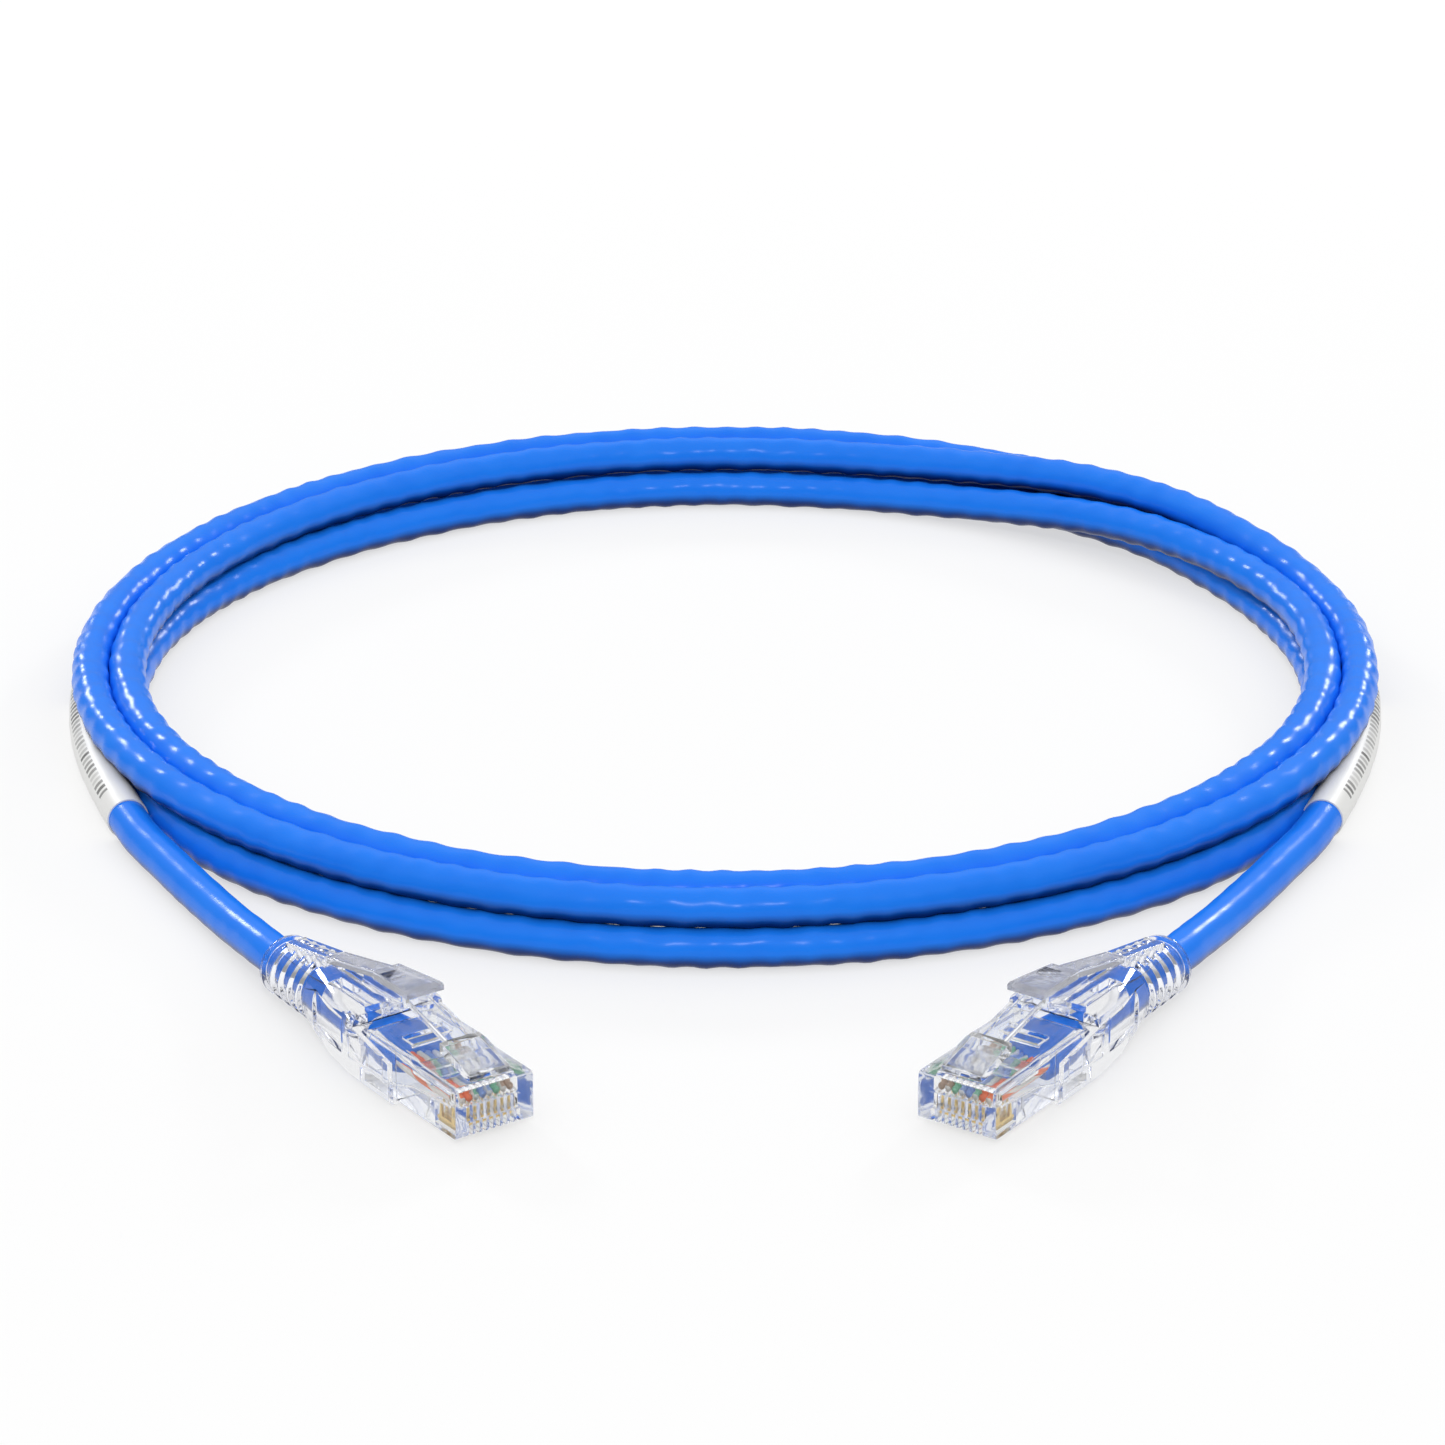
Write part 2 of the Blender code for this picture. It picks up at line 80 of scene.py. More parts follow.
table = bpy.data.meshes.new("table")
table.from_pydata([(-6, -4, 0), (6, -4, 0), (6, 8, 0), (-6, 8, 0)], [], [(0, 1, 2, 3)])
table_object = bpy.data.objects.new("table", table)
bpy.context.scene.collection.objects.link(table_object)
white_sheet, shader, tree = new_material("matt_white_table")
shader.inputs["Base Color"].default_value = linear("#969696")
shader.inputs["Roughness"].default_value = 0.9
shader.inputs["Specular IOR Level"].default_value = 0.1
shader.inputs["Emission Color"].default_value = (1.0, 1.0, 1.0, 1.0)
shader.inputs["Emission Strength"].default_value = 0.63
table.materials.append(white_sheet)

world = bpy.data.worlds.new("light_tent")
world.use_nodes = True
bpy.context.scene.world = world
tree = world.node_tree
coordinates = add_node(tree, "ShaderNodeTexCoord")
height = add_node(tree, "ShaderNodeSeparateXYZ", [("Vector", coordinates.outputs["Generated"])])
tent = add_node(tree, "ShaderNodeMapRange", [("Value", height.outputs["Z"])])
tent.inputs["From Min"].default_value = 0.24
tent.inputs["From Max"].default_value = 0.74
tent.inputs["To Min"].default_value = 0.34
tent.inputs["To Max"].default_value = 1.13
tree.links.new(tent.outputs["Result"], tree.nodes["Background"].inputs["Strength"])
tree.nodes["Background"].inputs["Color"].default_value = (1.0, 1.0, 1.0, 1.0)

for light_name, place, size, power in (
    ("soft_box_left", (-0.75, 1.30, 0.55), 0.24, 3.6),
    ("soft_box_right", (0.75, 1.30, 0.55), 0.24, 3.6),
    ("soft_box_front", (0.0, -0.95, 0.95), 0.14, 3.4),
):
    light = bpy.data.lights.new(light_name, "AREA")
    light.shape = "DISK"
    light.size = size
    light.energy = power
    lamp = bpy.data.objects.new(light_name, light)
    bpy.context.scene.collection.objects.link(lamp)
    lamp.location = place
    aim = np.array([0.0, 0.10, 0.0]) - np.array(place)
    lamp.rotation_euler = (
        math.atan2(math.hypot(aim[0], aim[1]), -aim[2]),
        0,
        math.atan2(aim[1], aim[0]) - math.pi / 2,
    )

VIEW_PITCH = 22.1
camera_data = bpy.data.cameras.new("camera")
camera_data.lens = 131.8
camera_data.sensor_width = 36.0
camera_data.clip_end = 50.0
camera = bpy.data.objects.new("camera", camera_data)
bpy.context.scene.collection.objects.link(camera)
camera.location = (-0.4 * MM, (COIL_Y - 750.0) * MM, 300.6 * MM)
camera.rotation_euler = (math.radians(90 - VIEW_PITCH), 0, 0)
bpy.context.scene.camera = camera
bpy.context.scene.view_settings.view_transform = "Standard"
# Light crosses up to a dozen walls of clear plastic, and needs two or more bounces at each.
BOUNCES = 28
bpy.context.scene.cycles.max_bounces = BOUNCES
bpy.context.scene.cycles.transmission_bounces = BOUNCES
bpy.context.scene.cycles.glossy_bounces = BOUNCES


# --- Cable: one length of round four-pair lead in a blue PVC jacket, in three and a half turns --------
# The turns lie two wide and two high. Towards the back right the whole bundle makes a quarter twist, which
# is how each turn gets from its place in the bundle to the next. The jacket is drawn tight over the pairs.

CABLE_D = 5.5
COIL_R = 96.0
PLUG_YAW = math.radians(35.0)
NOSE = (29.2, -20.55)
JACKET_Z = 4.4

# The tail's route at the left, (x, y from the coil's centre, z); the right one mirrors it.
TAIL_ROUTE = [
    (-58.80, -106.33, 4.40),
    (-61.35, -102.02, 4.25),
    (-63.90, -96.90, 3.75),
    (-67.20, -90.40, 3.10),
    (-71.00, -83.10, 2.85),
    (-74.85, -75.90, 2.80),
    (-78.60, -68.50, 2.80),
    (-82.55, -60.90, 2.82),
    (-85.95, -52.60, 3.10),
    (-88.90, -43.80, 3.20),
    (-91.50, -34.90, 3.20),
    (-93.60, -26.00, 3.20),
    (-95.00, -17.40, 3.20),
    (-95.90, -8.60, 3.20),
    (-96.30, 0.20, 3.20),
]


def place(side, points):
    """Plug coordinates (across, back from the nose, up), in millimetres, to the frame; side is -1 or 1."""
    points = np.asarray(points, float)
    turn = -side * PLUG_YAW
    x = side * NOSE[0] + points[..., 0] * math.cos(turn) - points[..., 1] * math.sin(turn)
    y = NOSE[1] + points[..., 0] * math.sin(turn) + points[..., 1] * math.cos(turn)
    return np.stack([x, y, points[..., 2]], axis=-1) * MM


def ease(value, start, end):
    """0 before start, 1 after end and a smooth step between."""
    t = np.clip((value - start) / (end - start), 0, 1)
    return t * t * (3 - 2 * t)


def coil_turns(step=1.0):
    """Centreline of the coiled part.

    The bundle's four places are the corners of a square. The place angle turns a quarter turn clockwise in
    each twist, and the bundle lifts so that its lowest turn stays on the table. Angles are in degrees.
    """
    turned = np.arange(3.0, 1257.5, step)
    lap = turned % 360
    past = np.floor(turned / 360)
    twist = ease(lap, 98.0, 174.0)
    quarter = past + twist
    corner = np.radians(-45 - 90 * quarter)
    lift = 0.207 * CABLE_D * np.sin(np.pi * (quarter % 1)) ** 2
    reach = CABLE_D / math.sqrt(2)
    radial = COIL_R - CABLE_D / 2 + reach * np.cos(corner)
    high = CABLE_D * 0.98 + 0.96 * reach * np.sin(corner) + lift
    front = ease(lap, 184, 226) * (1 - ease(lap, 312, 352))
    radial = radial + front * (past == 0) * (CABLE_D + 1.5)
    high = high - 0.05 * front * (past == 2)
    inner_back = ease(lap, 8, 62) * (1 - twist) * (past == 1)
    radial = radial - inner_back * 2.6
    azimuth = np.radians(180 - turned)
    return np.stack([radial * np.cos(azimuth), COIL_Y + radial * np.sin(azimuth), high], axis=1)


def through(knots, spacing):
    """Points at even spacing along a Catmull-Rom curve through the knots."""
    padded = np.vstack([2 * knots[0] - knots[1], knots, 2 * knots[-1] - knots[-2]])
    a, b, c, d = (padded[i : len(padded) - 3 + i, None] for i in range(4))
    t = np.linspace(0, 1, 12, endpoint=False)[None, :, None]
    fine = 0.5 * (2 * b + (c - a) * t + (2 * a - 5 * b + 4 * c - d) * t**2 + (3 * b - a - 3 * c + d) * t**3)
    fine = np.vstack([fine.reshape(-1, 3), knots[-1]])
    along = np.concatenate([[0], np.cumsum(np.linalg.norm(np.diff(fine, axis=0), axis=1))])
    even = np.linspace(0, along[-1], int(round(along[-1] / spacing)) + 1)
    return np.stack([np.interp(even, along, fine[:, i]) for i in range(3)], axis=1)


inside_boot = [(0, back, JACKET_Z) for back in (29.0, 35.0, 41.0, 46.0)]
tail = np.array([(x, COIL_Y + y, z) for x, y, z in TAIL_ROUTE])
left_tail = np.vstack([place(-1, inside_boot) / MM, tail])
right_tail = (left_tail * (-1, 1, 1))[::-1]
SPACING = 0.85
route = through(np.vstack([left_tail, coil_turns(6.0), right_tail]), SPACING)
for _ in range(12):
    route[1:-1] = 0.25 * route[:-2] + 0.5 * route[1:-1] + 0.25 * route[2:]
along = np.concatenate([[0], np.cumsum(np.linalg.norm(np.diff(route, axis=0), axis=1))])
cable_length = along[-1]
print(f"cable length {cable_length:.0f} mm")


def frames_along(line):
    """Unit vectors across and above a line that keeps nearly level."""
    ahead = np.gradient(line, axis=0)
    ahead /= np.linalg.norm(ahead, axis=1, keepdims=True)
    across = np.cross(ahead, (0.0, 0.0, 1.0))
    across /= np.linalg.norm(across, axis=1, keepdims=True)
    return across, np.cross(across, ahead)


def grid_faces(rows, columns, wrap=True):
    """Quads over a grid of rows by columns; wrap closes each row."""
    last = columns if wrap else columns - 1
    r, c = np.meshgrid(np.arange(rows - 1), np.arange(last), indexing="ij")
    n = (c + 1) % columns
    corners = [r * columns + c, r * columns + n, (r + 1) * columns + n, (r + 1) * columns + c]
    return np.stack(corners, -1).reshape(-1, 4)


def add_piece(name, points, faces, material, sharp=None, uv=None):
    """A smooth mesh object at the origin, faces outwards; sharp is the angle kept as an edge, in degrees."""
    mesh = bpy.data.meshes.new(name)
    mesh.from_pydata(np.asarray(points).reshape(-1, 3).tolist(), [], [list(map(int, f)) for f in faces])
    built = bmesh.new()
    built.from_mesh(mesh)
    bmesh.ops.recalc_face_normals(built, faces=built.faces)
    built.to_mesh(mesh)
    built.free()
    if uv is not None:
        layer = mesh.uv_layers.new(name="UVMap")
        corner = np.zeros(len(mesh.loops), int)
        mesh.loops.foreach_get("vertex_index", corner)
        layer.data.foreach_set("uv", uv.reshape(-1, 2)[corner].ravel())
    mesh.shade_smooth()
    if sharp:
        mesh.set_sharp_from_angle(angle=math.radians(sharp))
    mesh.materials.append(material)
    made = bpy.data.objects.new(name, mesh)
    bpy.context.scene.collection.objects.link(made)
    return made


def tube_piece(name, line, radius, material, sides, uv=None, unit=1.0):
    """A tube along a line: each ring is the line's point plus radius times (cos, sin) in its across and
    above directions. radius is a number or an array of rings by sides."""
    across, above = frames_along(line)
    turn = np.arange(sides) * 2 * np.pi / sides
    radius = np.broadcast_to(radius, (len(line), sides))[..., None]
    ring = np.cos(turn)[None, :, None] * across[:, None] + np.sin(turn)[None, :, None] * above[:, None]
    points = line[:, None] + radius * ring
    faces = [*grid_faces(len(line), sides), range(sides), range((len(line) - 1) * sides, len(line) * sides)]
    return add_piece(name, points * unit, faces, material, uv=uv)


# Each pair's ridge winds round the jacket once in 88 mm, and swells twice in each of its own lays.
JACKET_SIDES = 28
turn = (np.arange(JACKET_SIDES) * 2 * np.pi / JACKET_SIDES)[None, :]
lumps = np.zeros((len(route), JACKET_SIDES))
for pair, lay in enumerate((9.4, 10.6, 11.9, 13.3)):
    centre = 2 * np.pi * along / 88.0 + pair * np.pi / 2
    phase = 4 * np.pi * along / lay + 1.7 * pair + 0.9 * np.sin(along / 31.0 + pair)
    bulge = (0.5 + 0.5 * np.cos(phase)) ** 1.4
    away = np.angle(np.exp(1j * (turn - centre[:, None])))
    lumps += (0.25 + 0.75 * bulge)[:, None] * np.exp(-((away / 0.72) ** 2))
from_end = np.minimum(along, cable_length - along)
lump_height = 0.07 + 0.25 * ease(from_end, 95.0, 150.0)
jacket_radius = CABLE_D / 2 + 0.06 + lump_height[:, None] * (lumps - 0.62)

blue_pvc, shader, tree = new_material("glossy_blue_pvc_jacket")
# Extruded flexible PVC: a smooth, slightly waxy gloss over a deep blue, with a faint grain from the die.
# The "shelter" attribute paints the side that faces the table darker, in place of contact shading.
shader.inputs["Roughness"].default_value = 0.25
shader.inputs["IOR"].default_value = 1.47
shader.inputs["Specular IOR Level"].default_value = 0.18
place_on = add_node(tree, "ShaderNodeTexCoord")
where_on = place_on.outputs["Object"]
mottle = add_node(tree, "ShaderNodeTexNoise", [("Vector", where_on), ("Scale", 120.0), ("Detail", 2.0)])
tint = add_node(tree, "ShaderNodeMix", [("Factor", mottle.outputs["Fac"])], data_type="RGBA")
tint.inputs["A"].default_value = linear("#1675EC")
tint.inputs["B"].default_value = linear("#1C80F4")
shade = add_node(tree, "ShaderNodeAttribute", attribute_name="shelter")
# Painted shade: where the shelter attribute is high, the blue jacket colour is mixed towards a dark navy.
deep = add_node(tree, "ShaderNodeMix", [("Factor", shade.outputs["Fac"])], data_type="RGBA")
tree.links.new(tint.outputs["Result"], deep.inputs["A"])
deep.inputs["B"].default_value = linear("#021852")
tree.links.new(deep.outputs["Result"], shader.inputs["Base Color"])
grain = add_node(tree, "ShaderNodeTexNoise", [("Vector", where_on), ("Scale", 900.0), ("Detail", 1.0)])
skin = add_node(tree, "ShaderNodeBump", [("Height", grain.outputs["Fac"]), ("Strength", 0.06)])
skin.inputs["Distance"].default_value = 0.0002
tree.links.new(skin.outputs["Normal"], shader.inputs["Normal"])

cable = tube_piece("cable", route, jacket_radius, blue_pvc, JACKET_SIDES, unit=MM)
# Painted shade: the jacket's underside, facing the table, gets a high shelter value and is drawn darker, in
# place of contact shading.
shelter = np.broadcast_to(0.95 * ease(-np.sin(turn), -0.10, 0.62), lumps.shape)
cable.data.attributes.new("shelter", "FLOAT", "POINT").data.foreach_set("value", shelter.ravel())


# --- Label sleeves: a white sleeve shrunk on each tail where it goes under the coil -------------------
# White polyolefin, satin, with one row of small grey bars in place of print. It follows the
# cable's own centreline and ends just before the tail joins the coil.

SLEEVE_LONG = 53.5
SLEEVE_START = 2.0
IN_BOOT = 22.6  # how much of the cable's line comes before the tail's first point
SLEEVE_SIDES = 40

sleeve_white, shader, tree = new_material("satin_white_shrink_sleeve")
shader.inputs["Roughness"].default_value = 0.42
shader.inputs["IOR"].default_value = 1.49
mapped = add_node(tree, "ShaderNodeUVMap", uv_map="UVMap")
ink = add_node(tree, "ShaderNodeTexBrick", [("Vector", mapped.outputs["UV"])], offset=0.37, squash=1.4)
ink.inputs["Scale"].default_value = 1.0
ink.inputs["Brick Width"].default_value = 0.030
ink.inputs["Row Height"].default_value = 0.11
ink.inputs["Mortar Size"].default_value = 0.007
ink.inputs["Color1"].default_value = (1.0, 1.0, 1.0, 1.0)
ink.inputs["Color2"].default_value = (0.25, 0.25, 0.25, 1.0)
ink.inputs["Mortar"].default_value = (0.0, 0.0, 0.0, 1.0)
split = add_node(tree, "ShaderNodeSeparateXYZ", [("Vector", mapped.outputs["UV"])])
# The bars stand within one strip round the sleeve and within the middle four fifths of its length.
strip = [(0, split.outputs["Y"]), (1, 0.385), (2, 0.05)]
span = [(0, split.outputs["X"]), (1, 0.50), (2, 0.40)]
in_strip = add_node(tree, "ShaderNodeMath", strip, operation="COMPARE")
in_span = add_node(tree, "ShaderNodeMath", span, operation="COMPARE")
both = [(0, in_strip.outputs[0]), (1, in_span.outputs[0])]
inside = add_node(tree, "ShaderNodeMath", both, operation="MULTIPLY")
bars = [(0, inside.outputs[0]), (1, ink.outputs["Color"])]
inked = add_node(tree, "ShaderNodeMath", bars, operation="MULTIPLY")
tint = add_node(tree, "ShaderNodeMix", [("Factor", inked.outputs[0])], data_type="RGBA")
tint.inputs["A"].default_value = linear("#E4E4E2")
tint.inputs["B"].default_value = linear("#5E5E5E")
tree.links.new(tint.outputs["Result"], shader.inputs["Base Color"])

for side, letter in ((-1, "a"), (1, "b")):
    tail_long = np.linalg.norm(np.diff(through(tail, 1.0), axis=0), axis=1).sum()
    near = IN_BOOT + tail_long - SLEEVE_START - SLEEVE_LONG
    along_end = along if side < 0 else cable_length - along
    order = np.argsort(along_end)
    line = route[order][(along_end[order] > near) & (along_end[order] < near + SLEEVE_LONG)]
    count = len(line)
    rows = np.linspace(0, 1, count)
    around = np.arange(SLEEVE_SIDES) / SLEEVE_SIDES
    ripple = 0.03 * np.sin(rows * 47)[:, None] * np.cos(2 * np.pi * around * 2 + rows[:, None] * 9)
    across, above = frames_along(line)
    angle = around * 2 * np.pi
    ring = np.cos(angle)[None, :, None] * across[:, None] + np.sin(angle)[None, :, None] * above[:, None]
    outside = line[:, None] + (CABLE_D / 2 + 0.28 + ripple)[..., None] * ring
    within = line[:, None] + (CABLE_D / 2 + 0.06) * ring
    points = np.concatenate([outside, within[::-1], outside[:1]])
    spun = around if side < 0 else (0.5 - around) % 1
    uv = np.stack(np.broadcast_arrays(rows[:, None], spun[None, :]), -1)
    uv = np.concatenate([uv, uv[::-1], uv[:1]])
    corners = 2 * count * SLEEVE_SIDES
    faces = grid_faces(2 * count + 1, SLEEVE_SIDES) % corners
    skin_points = points[: 2 * count] * MM
    sleeve = add_piece(f"label_sleeve_print_{letter}", skin_points, faces, sleeve_white, 40, uv[: 2 * count])
    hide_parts(f"label_sleeve_{letter}")
    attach(sleeve, "root")

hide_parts("cable_coil", "cable_tail_a", "cable_tail_b")
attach(cable, "root")
tuple(place(-1, (0, 51.3, JACKET_Z)))


# --- Plug ends: a clear eight-way plug and its boot on each end of the cable ---------------------------
# Everything here is worked out in plug coordinates (x across, y back from the nose, z up, in millimetres),
# cut to shape there, and then put in its place in the frame.


def rounded(y, half, low, high, radius, per_corner=9):
    """A rounded rectangle across the plug's axis; radius is taken round each corner in turn."""
    turn = np.radians(np.linspace(0, 90, per_corner))
    start = np.radians([-90, 0, 90, 180])[:, None]
    x = np.array([1, 1, -1, -1])[:, None] * (half - radius) + radius * np.cos(start + turn)
    middle = np.array([low + radius, high - radius, high - radius, low + radius])[:, None]
    z = middle + radius * np.sin(start + turn)
    return np.stack([x.ravel(), np.full(x.size, y), z.ravel()], axis=1)


def loft(sections):
    """A closed skin over a run of sections with the same number of points."""
    count = len(sections[0])
    ends = [tuple(range(count)), tuple(range((len(sections) - 1) * count, len(sections) * count))]
    return np.concatenate(sections), [*map(tuple, grid_faces(len(sections), count)), *ends]


def prism(outline, half, middle=0.0):
    """A side view (y, z) given thickness across x."""
    outline = np.asarray(outline, float)
    walls = [np.column_stack([np.full(len(outline), x), outline]) for x in (middle - half, middle + half)]
    return loft(walls)


def block(x0, x1, y0, y1, z0, z1):
    """A plain box."""
    return prism([(y0, z0), (y1, z0), (y1, z1), (y0, z1)], (x1 - x0) / 2, (x0 + x1) / 2)


def made_of(name, shape, material, sharp=None):
    """The shape as a piece of one plug end, still in plug coordinates; fitted() puts it in its place."""
    return add_piece(name, shape[0], shape[1], material, sharp)


def carve(piece, cutters, operation="DIFFERENCE"):
    """Cuts or joins shapes into the piece and keeps the result as its mesh."""
    helpers = [made_of(f"{piece.name}_tool", shape, piece.data.materials[0]) for shape in cutters]
    for helper in helpers:
        modifier = piece.modifiers.new("carve", "BOOLEAN")
        modifier.operation = operation
        modifier.object = helper
        modifier.solver = "EXACT"
    graph = bpy.context.evaluated_depsgraph_get()
    carved = bpy.data.meshes.new_from_object(piece.evaluated_get(graph))
    piece.modifiers.clear()
    piece.data = carved
    for helper in helpers:
        bpy.data.objects.remove(helper)


def soften(piece, width, angle=38.0, segments=2):
    """Rounds the piece's sharp edges, as the mould does."""
    piece.data.shade_smooth()
    bevel = piece.modifiers.new("mould_radius", "BEVEL")
    bevel.width = width * MM
    bevel.segments = segments
    bevel.limit_method = "ANGLE"
    bevel.angle_limit = math.radians(angle)
    bevel.use_clamp_overlap = False
    bevel.harden_normals = True


def fitted(piece, side, node, body="root"):
    """Moves the piece from plug coordinates to its place in the frame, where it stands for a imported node."""
    points = np.zeros(len(piece.data.vertices) * 3)
    piece.data.vertices.foreach_get("co", points)
    piece.data.vertices.foreach_set("co", place(side, points.reshape(-1, 3)).ravel())
    piece.data.update()
    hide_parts(node)
    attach(piece, body)


def clear_plastic(name, colour, ior, roughness, haze):
    """A clear moulded plastic with slight flow lines in its skin; haze is how milky it is."""
    made, shader, tree = new_material(name)
    shader.inputs["Base Color"].default_value = linear(colour)
    shader.inputs["IOR"].default_value = ior
    shader.inputs["Transmission Weight"].default_value = 1.0 - haze
    where = add_node(tree, "ShaderNodeTexCoord")
    flow = add_node(tree, "ShaderNodeTexNoise", [("Vector", where.outputs["Object"]), ("Scale", 320.0)])
    flow.inputs["Detail"].default_value = 2.0
    polish = add_node(tree, "ShaderNodeMapRange", [("Value", flow.outputs["Fac"])])
    polish.inputs["To Min"].default_value = roughness * 0.5
    polish.inputs["To Max"].default_value = roughness * 1.5
    tree.links.new(polish.outputs["Result"], shader.inputs["Roughness"])
    ripple = add_node(tree, "ShaderNodeBump", [("Height", flow.outputs["Fac"]), ("Strength", 0.12)])
    ripple.inputs["Distance"].default_value = 0.0003
    tree.links.new(ripple.outputs["Normal"], shader.inputs["Normal"])
    return made


# Both are drawn with a lower index than the real plastics (about 1.58 and 1.53), so that the inside shows.
clear_pc = clear_plastic("clear_polycarbonate", "#FDFEFF", 1.42, 0.04, 0.0)
clear_pvc = clear_plastic("clear_soft_pvc", "#FBFCFF", 1.34, 0.04, 0.0)
smoky_pvc = clear_plastic("clear_soft_pvc_tongue", "#E6E8F0", 1.40, 0.12, 0.10)

# Contacts: phosphor bronze blades, stamped and plated with nickel and hard gold.
gold, shader, tree = new_material("hard_gold_plate")
shader.inputs["Metallic"].default_value = 1.0
where = add_node(tree, "ShaderNodeTexCoord")
wear = add_node(tree, "ShaderNodeTexNoise", [("Vector", where.outputs["Object"]), ("Scale", 1500.0)])
wear.inputs["Detail"].default_value = 3.0
tint = add_node(tree, "ShaderNodeMix", [("Factor", wear.outputs["Fac"])], data_type="RGBA")
tint.inputs["A"].default_value = linear("#EBD08C")
tint.inputs["B"].default_value = linear("#DFBC6C")
tree.links.new(tint.outputs["Result"], shader.inputs["Base Color"])
shader.inputs["Roughness"].default_value = 0.24

PITCH = 1.02
CONTACT_SIDE = [
    (1.5, 1.7),
    (1.62, 1.42),
    (2.0, 1.25),
    (5.4, 1.25),
    (5.78, 1.42),
    (5.9, 1.7),
    (5.9, 1.9),
    (5.4, 2.1),
    (5.1, 4.3),
    (4.8, 2.1),
    (2.6, 2.1),
    (2.3, 4.3),
    (2.0, 2.1),
    (1.5, 1.9),
]
# The colours of the eight wires in order across the plug: the ring colour, and the band on a white one.
INSULATION = [
    ("white_orange", "#F8F1EA", "#FF7A3C"),
    ("orange", "#FF7030", "#FF7030"),
    ("white_green", "#EDF4EF", "#86D0B0"),
    ("blue", "#86A9F0", "#86A9F0"),
    ("white_blue", "#EEF1F8", "#9DBBF2"),
    ("green", "#7CCDA6", "#7CCDA6"),
    ("white_brown", "#F1EDE8", "#C2A48C"),
    ("brown", "#BE9F88", "#BE9F88"),
]


def insulation_material(name, ground, band):
    """Polyethylene insulation: satin, with one coloured band that winds slowly round a white wire."""
    made, shader, tree = new_material(f"polyethylene_{name}")
    shader.inputs["Roughness"].default_value = 0.4
    mapped = add_node(tree, "ShaderNodeUVMap", uv_map="UVMap")
    part = add_node(tree, "ShaderNodeSeparateXYZ", [("Vector", mapped.outputs["UV"])])
    turns = [(0, part.outputs["X"]), (1, 1.6), (2, part.outputs["Y"])]
    wound = add_node(tree, "ShaderNodeMath", turns, operation="MULTIPLY_ADD")
    round_part = add_node(tree, "ShaderNodeMath", [(0, wound.outputs[0])], operation="FRACT")
    banded = add_node(tree, "ShaderNodeMath", [(0, round_part.outputs[0]), (1, 0.36)], operation="LESS_THAN")
    tint = add_node(tree, "ShaderNodeMix", [("Factor", banded.outputs[0])], data_type="RGBA")
    tint.inputs["A"].default_value = linear(ground)
    tint.inputs["B"].default_value = linear(band)
    tree.links.new(tint.outputs["Result"], shader.inputs["Base Color"])
    return made


insulations = {name: insulation_material(name, ground, band) for name, ground, band in INSULATION}

